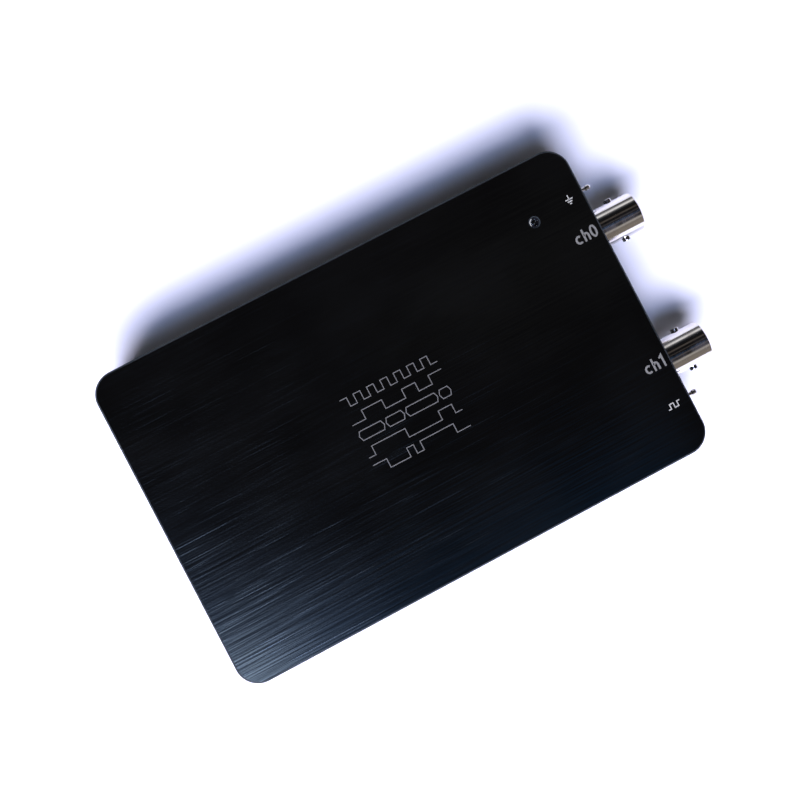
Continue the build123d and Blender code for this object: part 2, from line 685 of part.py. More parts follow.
def leads(body, turns, count, pitch):
    """Leads along the sides of a chip that face these turns about Z."""
    one = lead(pitch * 0.35)
    placed = []
    for turn in turns:
        out = body["length"] / 2 if turn % 180 == 0 else body["width"] / 2
        for i in range(count):
            along = (i - (count - 1) / 2) * pitch
            side = in_case(body["x"], body["y"], BOARD_TOP) * Rot(Z=turn)
            placed.append(side * Pos(out, along, 0) * one)
    return group(placed)


def logic_chip_substrate():
    bottom = BOARD_TOP + BALL_HEIGHT
    return box_at(LOGIC["x"], LOGIC["y"], SUBSTRATE, SUBSTRATE, bottom, bottom + SUBSTRATE_THICKNESS)


def logic_chip_balls():
    """Solder balls under the substrate, as short barrels."""
    steps = [i * BALL_PITCH for i in range(-3, 4)]
    top = BOARD_TOP + BALL_HEIGHT
    x, y = LOGIC["x"], LOGIC["y"]
    return group([post(BALL_RADIUS, x + dx, y + dy, BOARD_TOP, top) for dx in steps for dy in steps])


def shield_frame(side):
    """Sheet-metal fence, soldered round one input's front end."""
    x, y = CAN["x"], side * CAN["y"]
    top = BOARD_TOP + CAN["height"] - CAN_METAL
    fence = box_at(x, y, CAN["length"], CAN["width"], BOARD_TOP, top)
    inside = 2 * CAN_METAL
    fence -= box_at(x, y, CAN["length"] - inside, CAN["width"] - inside, BOARD_TOP, top)
    gap_top = BOARD_TOP + TRACK_GAP_HEIGHT
    return fence - [
        box_at(x + dx, y, TRACK_GAP_WIDTH, 2 * CAN["width"], BOARD_TOP, gap_top) for dx in TRACK_GAPS
    ]


def shield_lid(side):
    """Snap-on cover with a short skirt and a field of vents."""
    x, y = CAN["x"], side * CAN["y"]
    top = BOARD_TOP + CAN["height"]
    rim = top - CAN_SKIRT
    length = CAN["length"] + 2 * SNUG
    width = CAN["width"] + 2 * SNUG
    lid = box_at(x, y, length + 2 * CAN_METAL, width + 2 * CAN_METAL, rim, top)
    lid = fillet(lid.edges().filter_by(Axis.Z), CAN_CORNER)
    lid -= box_at(x, y, length, width, rim, top - CAN_METAL)
    vents = [(i * VENT_PITCH, j * VENT_PITCH) for i in range(-2, 3) for j in range(-1, 2)]
    return lid - [post(VENT_RADIUS, x + dx, y + dy, top - CAN_METAL, top) for dx, dy in vents]


def amplifiers():
    """Two amplifiers for each input, under its shield."""
    return group([
        chip(CAN["x"] + offset, side * CAN["y"], **AMPLIFIER)
        for offset in (-AMPLIFIER_OFFSET, AMPLIFIER_OFFSET)
        for side in (-1, 1)
    ])  # fmt: skip


def coupling_relay(side):
    """Sealed relay that lets an input's steady voltage through or blocks it."""
    top = BOARD_TOP + RELAY["height"]
    body = box_at(RELAY["x"], side * RELAY["y"], RELAY["length"], RELAY["width"], BOARD_TOP, top)
    return fillet(top_edges(body), CAN_CORNER)


def trimmer_base(side):
    """Fixed half of a compensation trimmer, with the bore that its rotor's shaft turns in."""
    x, y = TRIMMER["x"], side * TRIMMER["y"]
    top = BOARD_TOP + TRIMMER["height"]
    base = box_at(x, y, TRIMMER["length"], TRIMMER["width"], BOARD_TOP, top)
    base = chamfer(base.edges().filter_by(Axis.Z), TRIMMER_CHAMFER)
    return base - post(SHAFT_RADIUS + RUNNING_GAP, x, y, SHAFT_HOLE_END, top)


def trimmer_rotor(side):
    """Turning half of a compensation trimmer: a slotted disc on a shaft."""
    x, y = TRIMMER["x"], side * TRIMMER["y"]
    seat = BOARD_TOP + TRIMMER["height"] + RUNNING_GAP
    top = seat + ROTOR_HEIGHT
    disc = chamfer(top_edges(post(ROTOR_RADIUS, x, y, seat, top)), ROTOR_HEIGHT / 5)
    length, width, depth = ROTOR_SLOT
    disc -= box_at(x, y, length, width, top - depth, top)
    return disc + post(SHAFT_RADIUS, x, y, SHAFT_END, seat)


def components(places, size):
    """Plain components of one size, one over each place."""
    length, width, height = size
    return group([box_at(x, y, length, width, BOARD_TOP, BOARD_TOP + height) for x, y in places])


def crystal():
    length, width, height = CRYSTAL["size"]
    return in_case(*CRYSTAL["place"], BOARD_TOP) * extrude(SlotOverall(length, width), height)


def inductors():
    """Shielded chokes of the supplies, each with a round window over its winding."""
    length, width, height = INDUCTORS["size"]
    top = BOARD_TOP + height
    pieces = []
    for x, y in INDUCTORS["places"]:
        body = box_at(x, y, length, width, BOARD_TOP, top)
        body = chamfer(body.edges().filter_by(Axis.Z), width / 6)
        pieces.append(body - post(WINDING_RADIUS, x, y, top - WINDING_DEPTH, top))
    return group(pieces)


def tantalums():
    length, width, height = TANTALUMS["size"]
    return group([chip(x, y, length, width, height, lift=0) for x, y in TANTALUMS["places"]])


# ---------------------------------------------------------------- the object

ALL_SIDES = (0, 90, 180, 270)
LONG_SIDES = (90, 270)

PIECES = {
    "upper_shell": upper_shell(),
    "lower_shell": lower_shell(),
    "rubber_feet": rubber_feet(),
    "case_screws": case_screws(),
    "light_pipe": light_pipe(),
    "status_led": status_led(),
    "main_board": main_board(),
    "board_screws": board_screws(),
    "insulating_film": insulating_film(),
    "header_shroud": header_shroud(),
    "header_pins": header_pins(),
    "logic_chip": chip(**LOGIC, lift=BALL_HEIGHT + SUBSTRATE_THICKNESS),
    "logic_chip_substrate": logic_chip_substrate(),
    "logic_chip_balls": logic_chip_balls(),
    "converter_chip": chip(**CONVERTER),
    "converter_leads": leads(CONVERTER, ALL_SIDES, 8, 0.8),
    "usb_controller": chip(**USB_CONTROLLER),
    "usb_controller_leads": leads(USB_CONTROLLER, ALL_SIDES, 11, 0.8),
    "memory_chip": chip(**MEMORY),
    "memory_leads": leads(MEMORY, LONG_SIDES, 22, 0.8),
    "microcontroller": chip(**MICROCONTROLLER),
    "microcontroller_leads": leads(MICROCONTROLLER, LONG_SIDES, 14, 0.65),
    "amplifiers": amplifiers(),
    "coupling_relays": group([coupling_relay(1), coupling_relay(-1)]),
    "clock_oscillator": components(**OSCILLATOR),
    "usb_crystal": crystal(),
    "power_inductors": inductors(),
    "tantalum_capacitors": tantalums(),
    "chip_capacitors": components(**CAPACITORS),
    "chip_resistors": components(**RESISTORS),
}
for name, socket in (("usb", DATA_SOCKET), ("power", POWER_SOCKET)):
    PIECES[f"{name}_shell"] = usb_shell(socket)
    PIECES[f"{name}_tongue"] = usb_tongue(socket)
    PIECES[f"{name}_contacts"] = usb_contacts(socket)
for name, y in BNC_SIDES.items():
    PIECES[f"{name}_barrel"] = bnc_barrel(y)
    PIECES[f"{name}_insulator"] = bnc_insulator(y)
    PIECES[f"{name}_contact"] = bnc_contact(y)
    PIECES[f"{name}_housing"] = bnc_housing(y)
    PIECES[f"{name}_legs"] = bnc_legs(y)
for name, y in PIN_SIDES.items():
    PIECES[name] = test_pin(y)
    PIECES[f"{name}_bushing"] = pin_bushing(y)
for channel, side in enumerate((1, -1)):
    PIECES[f"shield_{channel}_frame"] = shield_frame(side)
    PIECES[f"shield_{channel}_lid"] = shield_lid(side)
    PIECES[f"trimmer_{channel}_base"] = trimmer_base(side)
    PIECES[f"trimmer_{channel}_rotor"] = trimmer_rotor(side)

os.makedirs("parts", exist_ok=True)
for name, piece in PIECES.items():
    export_step(piece, f"parts/{name}.step")
print(len(PIECES), "nodes")
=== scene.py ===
import json
import math

import bmesh
import bpy
from mathutils import Matrix, Quaternion, Vector


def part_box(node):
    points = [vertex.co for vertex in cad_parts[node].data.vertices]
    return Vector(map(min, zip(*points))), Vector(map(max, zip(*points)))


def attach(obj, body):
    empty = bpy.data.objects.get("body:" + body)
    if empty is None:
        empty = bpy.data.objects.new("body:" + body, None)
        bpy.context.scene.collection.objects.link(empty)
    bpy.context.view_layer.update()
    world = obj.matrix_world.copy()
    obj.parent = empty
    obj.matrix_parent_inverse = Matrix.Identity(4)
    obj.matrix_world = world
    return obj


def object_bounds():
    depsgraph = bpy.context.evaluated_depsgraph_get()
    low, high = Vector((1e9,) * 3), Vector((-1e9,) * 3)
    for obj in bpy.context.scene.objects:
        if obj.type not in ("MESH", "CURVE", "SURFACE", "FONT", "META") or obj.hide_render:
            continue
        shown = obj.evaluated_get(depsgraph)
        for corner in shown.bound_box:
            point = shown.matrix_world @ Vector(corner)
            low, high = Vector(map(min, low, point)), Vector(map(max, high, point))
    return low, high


# Looks for a pocket two-channel logic analyzer: the CAD frame with procedural materials, the marks
# printed on its top, a white floor, soft studio lights and the camera. Metres, in the CAD's frame.

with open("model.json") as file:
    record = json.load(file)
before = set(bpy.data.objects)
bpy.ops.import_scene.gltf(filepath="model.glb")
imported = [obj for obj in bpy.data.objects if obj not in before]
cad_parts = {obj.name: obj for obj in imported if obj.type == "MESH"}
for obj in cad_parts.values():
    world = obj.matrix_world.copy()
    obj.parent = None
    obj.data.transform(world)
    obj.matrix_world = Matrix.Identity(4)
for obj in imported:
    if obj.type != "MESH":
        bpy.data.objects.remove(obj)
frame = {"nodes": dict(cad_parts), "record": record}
cad_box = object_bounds()

MM = 0.001
INK_TINT = (1.0, 0.99, 0.8)

# ---------------------------------------------------------------- node helpers


class Tree:
    """A material's or a world's nodes, with short calls for the ones used here."""

    def __init__(self, owner):
        owner.use_nodes = True
        self.tree = owner.node_tree
        self.tree.nodes.clear()

    def add(self, kind, inputs=None, **settings):
        node = self.tree.nodes.new(kind)
        for key, value in settings.items():
            setattr(node, key, value)
        for key, value in (inputs or {}).items():
            self.put(node.inputs[key], value)
        return node

    def put(self, socket, value):
        """Links a socket to another node's output, or sets its own value."""
        if isinstance(value, bpy.types.NodeSocket):
            self.tree.links.new(value, socket)
        elif hasattr(socket.default_value, "__len__") and len(socket.default_value) == 4:
            socket.default_value = (*value[:3], 1.0)
        else:
            socket.default_value = value

    def place(self, per_metre):
        """The object's own coordinates, scaled to so many features per metre along each axis."""
        source = self.add("ShaderNodeTexCoord").outputs["Object"]
        scaled = self.add("ShaderNodeMapping", {"Vector": source, "Scale": per_metre})
        return scaled.outputs["Vector"]

    def noise(self, per_metre, detail=2.0, distortion=0.0):
        inputs = {"Vector": self.place(per_metre), "Scale": 1.0}
        inputs.update({"Detail": detail, "Distortion": distortion})
        return self.add("ShaderNodeTexNoise", inputs).outputs["Fac"]

    def cells(self, per_metre, output="Distance", **settings):
        inputs = {"Vector": self.place(per_metre), "Scale": 1.0}
        return self.add("ShaderNodeTexVoronoi", inputs, **settings).outputs[output]

    def spread(self, value, start, end, low, high):
        """A value between start and end, carried smoothly to between low and high."""
        inputs = {"Value": value, "From Min": start, "From Max": end, "To Min": low, "To Max": high}
        node = self.add("ShaderNodeMapRange", inputs, interpolation_type="SMOOTHSTEP")
        return node.outputs["Result"]

    def math(self, operation, *values):
        node = self.add("ShaderNodeMath", dict(enumerate(values)), operation=operation)
        return node.outputs["Value"]

    def blend(self, share, first, second):
        node = self.add("ShaderNodeMix", data_type="RGBA")
        self.put(node.inputs[0], share)
        self.put(node.inputs[6], first)
        self.put(node.inputs[7], second)
        return node.outputs[2]

    def vector_math(self, operation, first, second):
        return self.add("ShaderNodeVectorMath", {0: first, 1: second}, operation=operation).outputs

    def scale(self, vector, factor):
        inputs = {0: vector, 3: factor}
        return self.add("ShaderNodeVectorMath", inputs, operation="SCALE").outputs["Vector"]

    def bump(self, height, depth):
        """A normal for grooves and grains this deep, in metres."""
        inputs = {"Height": height, "Distance": depth, "Strength": 1.0}
        return self.add("ShaderNodeBump", inputs).outputs["Normal"]

    def rounded(self, radius):
        """A normal that turns smoothly over edges."""
        return self.add("ShaderNodeBevel", {"Radius": radius}, samples=6).outputs["Normal"]

    def edges(self, rounded):
        """1 on edges that wear, and 0 on flat faces."""
        plain = self.add("ShaderNodeNewGeometry").outputs["Normal"]
        same = self.vector_math("DOT_PRODUCT", rounded, plain)["Value"]
        return self.spread(same, 0.995, 0.93, 0.0, 1.0)

    def level(self):
        """1 on level faces and 0 on upright ones."""
        normal = self.add("ShaderNodeNewGeometry").outputs["Normal"]
        up = self.add("ShaderNodeSeparateXYZ", {"Vector": normal}).outputs["Z"]
        return self.math("ABSOLUTE", up)

    def chamfers(self):
        """1 on faces that slope, as chamfers do, and 0 on level and upright ones."""
        steep = self.level()
        off_upright = self.spread(steep, 0.05, 0.25, 0.0, 1.0)
        off_level = self.spread(steep, 0.98, 0.9, 0.0, 1.0)
        return self.math("MULTIPLY", off_upright, off_level)

    def surface(self, **sockets):
        """The principled shader, its sockets named with underscores for spaces."""
        inputs = {name.replace("_", " "): value for name, value in sockets.items()}
        shader = self.add("ShaderNodeBsdfPrincipled", inputs)
        self.add("ShaderNodeOutputMaterial", {"Surface": shader.outputs["BSDF"]})
        return shader


def material(name):
    made = bpy.data.materials.new(name)
    return made, Tree(made)


# ---------------------------------------------------------------- materials


def anodised_black():
    """Aluminium brushed along X, then anodised black, with deeper scores and paler worn edges."""
    made, t = material("anodised_black")
    grooves = t.noise((70, 6200, 6200), detail=3.0)
    streaks = t.noise((60, 5200, 5200), detail=2.0)
    clouds = t.noise((40, 60, 60), detail=3.0)
    waves = t.noise((50, 1700, 1700), detail=2.0)
    score = t.spread(t.noise((45, 4200, 4200), detail=1.0), 0.64, 0.74, 0.0, 1.0)
    rounded = t.rounded(0.3 * MM)
    chance = t.spread(t.noise((900, 900, 900)), 0.35, 0.7, 0.25, 1.0)
    worn = t.math("MULTIPLY", t.edges(rounded), chance)
    share = t.spread(clouds, 0.3, 0.7, 0.0, 1.0)
    black = t.blend(share, (0.0013, 0.0012, 0.001), (0.002, 0.0019, 0.0016))
    colour = t.blend(t.math("MULTIPLY", worn, 0.12), black, (0.02, 0.021, 0.025))
    hairlines = t.spread(t.noise((60, 60, 2600), detail=3.0), 0.42, 0.72, 0.0, 1.0)
    upright = t.spread(t.level(), 0.3, 0.1, 0.0, 1.0)
    colour = t.blend(t.math("MULTIPLY", hairlines, upright), colour, (0.024, 0.024, 0.026))
    patchy = t.spread(clouds, 0.3, 0.7, 0.085, 0.105)
    fine = t.math("ADD", t.spread(streaks, 0.3, 0.7, -0.02, 0.03), patchy)
    scored = t.math("ADD", fine, t.math("MULTIPLY", score, 0.08))
    rough = t.math("MAXIMUM", scored, t.math("MULTIPLY", t.chamfers(), 0.8))
    lines = t.math("ADD", t.math("MULTIPLY", grooves, 0.6), t.math("MULTIPLY", waves, 3.2))
    depth = t.math("ADD", lines, t.math("MULTIPLY", score, 0.4))
    t.surface(
        Base_Color=colour,
        Roughness=rough,
        IOR=1.6,
        Specular_Tint=(0.82, 1.0, 1.0),
        Anisotropic=0.3,
        Tangent=t.add("ShaderNodeTangent", direction_type="RADIAL", axis="X").outputs["Tangent"],
        Normal=t.bump(depth, 0.0055 * MM),
    )
    return made


def metal(name, light, dark, rough, lines, depth, turned=False):
    """A plain metal with fine tool lines, patches of tarnish and a few brighter worn specks."""
    made, t = material(name)
    tool = t.noise(lines, detail=3.0)
    patches = t.noise((260, 260, 260), detail=4.0)
    specks = t.noise((2600, 2600, 2600), detail=2.0)
    share = t.math("MULTIPLY", t.spread(patches, 0.45, 0.75, 0.0, 1.0), 0.6)
    grain = t.math("MULTIPLY", t.spread(specks, 0.62, 0.8, 0.0, 1.0), 0.25)
    colour = t.blend(t.math("ADD", share, grain), light, dark)
    mixed = t.math("ADD", t.math("MULTIPLY", patches, 0.6), t.math("MULTIPLY", tool, 0.4))
    low, high = rough
    t.surface(
        Base_Color=colour,
        Metallic=1.0,
        Roughness=t.spread(mixed, 0.35, 0.65, low, high),
        Anisotropic=0.5 if turned else 0.0,
        Anisotropic_Rotation=0.25 if turned else 0.0,
        Tangent=t.add("ShaderNodeTangent", direction_type="RADIAL", axis="X").outputs["Tangent"],
        Normal=t.bump(tool, depth),
    )
    return made


def moulded(name, base, shade, rough, grain=2400, depth=0.01 * MM, **sockets):
    """A moulded plastic, rubber or resin: fine spark-eroded grain and faint flow marks."""
    made, t = material(name)
    fine = t.noise((grain, grain, grain), detail=3.0)
    flow = t.noise((160, 320, 240), detail=2.0, distortion=1.0)
    colour = t.blend(t.spread(flow, 0.35, 0.65, 0.0, 1.0), base, shade)
    low, high = rough
    t.surface(
        Base_Color=colour,
        Roughness=t.spread(fine, 0.3, 0.7, low, high),
        Normal=t.bump(fine, depth),
        **sockets,
    )
    return made


def solder_mask():
    """Board lacquer over bundles of copper tracks and round pads, which shine through paler."""
    made, t = material("solder_mask")
    place = t.place((200, 200, 200))
    inputs = {"Vector": place, "Scale": 1.0}
    along = t.add("ShaderNodeTexWave", inputs, bands_direction="X").outputs["Fac"]
    across = t.add("ShaderNodeTexWave", inputs, bands_direction="Y").outputs["Fac"]
    blocks = t.cells((130, 130, 1), "Color", distance="CHEBYCHEV")
    split = t.add("ShaderNodeSeparateColor", {"Color": blocks}).outputs
    turned = t.spread(split["Red"], 0.5, 0.51, 0.0, 1.0)
    straight = t.math("MULTIPLY", across, t.math("SUBTRACT", 1.0, turned))
    bands = t.math("ADD", t.math("MULTIPLY", along, turned), straight)
    bundled = t.spread(split["Green"], 0.35, 0.36, 0.0, 1.0)
    tracks = t.math("MULTIPLY", t.spread(bands, 0.66, 0.74, 0.0, 1.0), bundled)
    dots = t.spread(t.cells((300, 300, 1)), 0.14, 0.11, 0.0, 1.0)
    copper = t.math("MAXIMUM", tracks, dots)
    dust = t.noise((1800, 1800, 1800), detail=3.0)
    colour = t.blend(copper, (0.006, 0.03, 0.012), (0.012, 0.075, 0.03))
    t.surface(
        Base_Color=colour,
        Roughness=t.spread(dust, 0.3, 0.7, 0.24, 0.4),
        Coat_Weight=0.4,
        Coat_Roughness=0.15,
        Normal=t.bump(copper, 0.01 * MM),
    )
    return made


def clear_pipe():
    """Clear polycarbonate, faintly clouded inside, with fine moulding ripples."""
    made, t = material("clear")
    ripples = t.noise((700, 700, 300), detail=2.0)
    haze = t.noise((500, 500, 500), detail=3.0)
    t.surface(
        Base_Color=t.blend(haze, (0.86, 0.9, 0.92), (0.96, 0.97, 0.97)),
        Roughness=t.spread(haze, 0.3, 0.7, 0.03, 0.12),
        Transmission_Weight=1.0,
        IOR=1.58,
        Normal=t.bump(ripples, 0.02 * MM),
    )
    return made


def printed_ink(name, tone):
    """Screen-printed ink of a grey tone, a little uneven in cover, matt, with a fine grain."""
    made, t = material(name)
    grain = t.noise((5200, 5200, 5200), detail=3.0)
    cover = t.noise((900, 900, 900), detail=2.0)
    thin = tuple(0.82 * tone * share for share in INK_TINT)
    full = tuple(1.1 * tone * share for share in INK_TINT)
    colour = t.blend(t.spread(cover, 0.3, 0.7, 0.0, 1.0), thin, full)
    t.surface(
        Base_Color=colour,
        Roughness=t.spread(grain, 0.3, 0.7, 0.5, 0.7),
        Normal=t.bump(grain, 0.004 * MM),
    )
    return made


def white_floor():
    """White card with a barely visible tooth; far from the object it glows with painted light, as a
    lit sweep would look.
    """
    made, t = material("white_floor")
    tooth = t.noise((1400, 1400, 1400), detail=3.0)
    wide = t.noise((6, 6, 6), detail=2.0)
    colour = t.blend(wide, (0.84, 0.84, 0.84), (0.88, 0.88, 0.88))
    place = t.add("ShaderNodeTexCoord").outputs["Object"]
    distance = t.vector_math("LENGTH", place, (0.0, 0.0, 0.0))["Value"]
    t.surface(
        Base_Color=colour,
        Roughness=t.spread(tooth, 0.3, 0.7, 0.75, 0.9),
        Normal=t.bump(tooth, 0.01 * MM),
        Emission_Color=(0.95, 0.96, 1.0),
        # Painted light: the floor glows more strongly the farther it lies from the object.
        Emission_Strength=t.spread(distance, 0.5, 2.2, 0.0, 0.9),
    )
    return made


# Tool lines per metre along each axis, and the soft sockets of two of the moulded materials.
TURNED = (9000, 120, 120)
ROLLED = (300, 5200, 5200)
PLAIN = (1500, 1500, 1500)
MILKY = {"Subsurface_Weight": 0.3, "Subsurface_Scale": 0.5 * MM}
DUSTY = {"Sheen_Weight": 0.15, "Sheen_Roughness": 0.4}

# name: light, dark, roughness from and to, tool lines, their depth, and whether it is turned
METALS = {
    "nickel": ((0.72, 0.69, 0.65), (0.5, 0.46, 0.42), (0.07, 0.17), TURNED, 0.0015 * MM, True),
    "gold": ((0.85, 0.62, 0.27), (0.66, 0.44, 0.17), (0.14, 0.28), PLAIN, 0.002 * MM),
    "black_steel": ((0.05, 0.05, 0.055), (0.022, 0.021, 0.022), (0.3, 0.48), PLAIN, 0.004 * MM),
    "tinned_steel": ((0.66, 0.66, 0.64), (0.45, 0.44, 0.42), (0.2, 0.38), ROLLED, 0.003 * MM),
    "tinned_leads": ((0.7, 0.7, 0.69), (0.5, 0.49, 0.47), (0.18, 0.34), PLAIN, 0.004 * MM),
    "trimmer_metal": ((0.8, 0.66, 0.42), (0.55, 0.44, 0.28), (0.18, 0.34), PLAIN, 0.003 * MM),
}

# name: base, shade, roughness from and to, and anything else that moulded() takes
MOULDED = {
    "dielectric": ((0.8, 0.79, 0.76), (0.7, 0.69, 0.66), (0.35, 0.5), MILKY),
    "black_plastic": ((0.014, 0.014, 0.015), (0.022, 0.022, 0.023), (0.38, 0.55), {}),
    "rubber": (
        (0.016, 0.016, 0.017), (0.03, 0.03, 0.03), (0.7, 0.92),
        {"grain": 1500, "depth": 0.03 * MM, **DUSTY},
    ),
    "insulating_film": ((0.42, 0.34, 0.12), (0.34, 0.27, 0.09), (0.16, 0.3), {"grain": 300}),
    "chip_body": ((0.017, 0.017, 0.018), (0.024, 0.024, 0.024), (0.5, 0.68), {"grain": 3600}),
    "relay_white": ((0.62, 0.62, 0.58), (0.5, 0.5, 0.46), (0.35, 0.5), {}),
    "tantalum_yellow": ((0.62, 0.38, 0.06), (0.54, 0.31, 0.05), (0.3, 0.45), {}),
    "capacitor_tan": ((0.42, 0.29, 0.17), (0.33, 0.22, 0.13), (0.35, 0.55), {}),
    "trimmer_body": ((0.04, 0.13, 0.33), (0.03, 0.1, 0.26), (0.35, 0.5), {}),
}


def all_materials():
    """One material for each slot in the record, by the slot's name."""
    made = {"anodised_black": anodised_black(), "solder_mask": solder_mask(), "clear": clear_pipe()}
    for name, settings in METALS.items():
        made[name] = metal(name, *settings)
    for name, (base, shade, rough, rest) in MOULDED.items():
        made[name] = moulded(name, base, shade, rough, **rest)
    return made


def dress_frame():
    """Gives each CAD node the material of its slot in the record."""
    materials = all_materials()
    slots = {part["node"]: part["material_slot"] for part in frame["record"]["subparts"]}
    for name, thing in frame["nodes"].items():
        thing.data.materials.clear()
        thing.data.materials.append(materials[slots[name]])


# ---------------------------------------------------------------- printed marks

INK_PROUD = 0.012 * MM
INK_SUNK = 0.004 * MM


def arc(centre, radius_x, radius_y, start, end, steps):
    """Points on an ellipse between two angles in degrees."""
    angles = [math.radians(start + (end - start) * i / steps) for i in range(steps + 1)]
    return [(centre[0] + radius_x * math.cos(a), centre[1] + radius_y * math.sin(a)) for a in angles]


def offset(points, half, closed):
    """The line's points moved to its left by half its width, mitred at the corners."""
    count = len(points)
    moved = []
    for i, point in enumerate(points):
        here = Vector(point)
        before = here - Vector(points[i - 1]) if closed or i else None
        after = Vector(points[(i + 1) % count]) - here if closed or i < count - 1 else None
        before = before or after
        after = after or before
        first = Vector((-before.y, before.x)).normalized()
        second = Vector((-after.y, after.x)).normalized()
        middle = (first + second).normalized()
        moved.append(here + middle * half / max(middle.dot(first), 0.3))
    return moved


def add_stroke(bm, points, width, closed=False):
    """A flat ribbon of ink along a line, as a thin closed solid. Points and width are in mm."""
    left = offset(points, width / 2, closed)
    right = offset(points, -width / 2, closed)
    rings = []
    for a, b in zip(left, right):
        corners = [(p.x * MM, p.y * MM, z) for z in (INK_PROUD, -INK_SUNK) for p in (a, b)]
        rings.append([bm.verts.new(corner) for corner in corners])
    pairs = list(zip(rings, rings[1:])) + ([(rings[-1], rings[0])] if closed else [])
    for one, two in pairs:
        for i, j in ((0, 1), (1, 3), (3, 2), (2, 0)):
            bm.faces.new((one[i], one[j], two[j], two[i]))
    if not closed:
        for ring in (rings[0], rings[-1]):
            bm.faces.new([ring[i] for i in (0, 1, 3, 2)])


def mark(name, x, y, strokes, width, ink):
    """A printed mark on the case's top. Its lines are drawn about the point x, y."""
    bm = bmesh.new()
    for points, closed in strokes:
        add_stroke(bm, points, width, closed)
    bmesh.ops.recalc_face_normals(bm, faces=bm.faces)
    mesh = bpy.data.meshes.new(name)
    bm.to_mesh(mesh)
    bm.free()
    mesh.materials.append(ink)
    piece = bpy.data.objects.new(name, mesh)
    bpy.context.scene.collection.objects.link(piece)
    piece.location = (x, y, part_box("upper_shell")[1].z)
    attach(piece, "instrument")


def middle(node):
    low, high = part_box(node)
    return (low + high) / 2


def steps_of(levels, start, unit, low, high):
    """A digital trace: one level for each unit of length."""
    points = [(start, high if levels[0] else low)]
    for i, (now, after) in enumerate(zip(levels, levels[1:])):
        if now != after:
            x = start + unit * (i + 1)
            points += [(x, high if now else low), (x, high if after else low)]
    points.append((start + unit * len(levels), high if levels[-1] else low))
    return points


def timing_diagram():
    """Four stacked digital traces and a bus trace: a generic picture of what the instrument shows."""
    length = 23.8
    start = -length / 2
    traces = [
        [1, 0] * 7,
        [0, 0, 1, 1, 1, 0, 0, 0, 1, 1, 0, 0, 1, 1],
        [0, 1, 1, 1, 1, 1, 0, 0, 0, 0, 0, 1, 1, 0],
        [1, 1, 0, 0, 0, 1, 0, 1, 1, 1, 1, 1, 0, 0],
    ]
    unit = length / len(traces[0])
    pitch = 4.1
    swing = 2.2
    rows = [2 * pitch, pitch, -pitch, -2 * pitch]
    half = swing / 2
    strokes = [(steps_of(t, start, unit, y - half, y + half), False) for t, y in zip(traces, rows)]
    slope = 0.45
    gap = 0.25
    edges = [start, start + 4 * unit, start + 7 * unit, start + 12 * unit, start + 14 * unit]
    for a, b in zip(edges, edges[1:]):
        left, right = a + gap, b - gap
        upper = [(left, 0), (left + slope, half), (right - slope, half), (right, 0)]
        lower = [(right - slope, -half), (left + slope, -half)]
        strokes.append((upper + lower, True))
    return strokes


def channel_label(digit):
    """The channel's label, ch and its number, drawn from its lower left corner."""
    letter_c = (arc((0.92, 1.02), 0.7, 0.8, 50, 310, 30), False)
    stem = ([(2.3, 0.0), (2.3, 3.0)], False)
    bow = ([(2.52, 1.35)] + arc((2.86, 1.22), 0.5, 0.62, 130, 0, 14) + [(3.36, 0.0)], False)
    zero = (arc((4.8, 1.5), 0.62, 1.27, 0, 360, 40)[:-1], True)
    one = ([(4.15, 2.25), (4.85, 2.8), (4.85, 0.0)], False)
    return [letter_c, stem, bow, (zero, one)[digit]]


def print_marks():
    shell_low, shell_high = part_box("upper_shell")
    front = shell_high.x
    centre_x = (shell_low.x + shell_high.x) / 2
    pale = printed_ink("ink_pale", 0.28)
    grey = printed_ink("ink_grey", 0.125)
    dim = printed_ink("ink_dim", 0.078)
    mark("mark_timing", centre_x, 0, timing_diagram(), 0.2, dim)

    earth = [([(0, 1.15), (0, 0.1)], False), ([(-0.92, 0.1), (0.92, 0.1)], False),
             ([(-0.58, -0.44), (0.58, -0.44)], False), ([(-0.25, -0.96), (0.25, -0.96)], False)]
    mark("mark_ground", front - 3.87 * MM, middle("ground_pin").y - 1.54 * MM, earth, 0.28, pale)

    wave = steps_of([0, 1, 0, 1], -1.9, 0.95, 0.0, 1.15)
    wave[0] = (-1.65, 0.0)
    wave[-1] = (1.65, 1.15)
    mark("mark_square_wave", front - 4.35 * MM, middle("signal_pin").y, [(wave, False)], 0.26, pale)

    below = [middle("bnc_0_barrel").y - 1.7 * MM, middle("bnc_1_barrel").y - 0.8 * MM]
    mark("mark_channel_0", front - 7.0 * MM, below[0], channel_label(0), 0.48, grey)
    mark("mark_channel_1", front - 6.6 * MM, below[1], channel_label(1), 0.48, grey)


# ---------------------------------------------------------------- status light

BEZEL_RADIUS = 1.0 * MM
BEZEL_WIRE = 0.14 * MM
BEZEL_SUNK = 0.1 * MM
BEZEL_STEPS = 64
WIRE_STEPS = 16
# The side of the status ring on which a pale crescent is painted: a painted highlight.
PAINTED_HIGHLIGHT_SIDE = (-0.886, 0.462, 0.0)


def bezel_black():
    """Satin black plastic, with a pale crescent painted along one side of the ring as a painted
    highlight.
    """
    made, t = material("bezel_black")
    grain = t.noise((4200, 4200, 4200), detail=3.0)
    place = t.add("ShaderNodeTexCoord").outputs["Object"]
    toward = t.vector_math("DOT_PRODUCT", place, PAINTED_HIGHLIGHT_SIDE)["Value"]
    uneven = t.math("ADD", toward, t.math("MULTIPLY", grain, 0.15 * MM))
    # Painted highlight: the ring is painted pale on the side facing this direction, with a ragged
    # inner edge.
    painted_highlight = t.spread(uneven, 0.62 * BEZEL_RADIUS, 0.88 * BEZEL_RADIUS, 0.0, 1.0)
    t.surface(
        Base_Color=t.blend(painted_highlight, (0.004, 0.004, 0.005), (0.27, 0.27, 0.22)),
        Roughness=t.spread(grain, 0.3, 0.7, 0.5, 0.65),
        Specular_IOR_Level=0.08,
        Normal=t.bump(grain, 0.004 * MM),
    )
    return made


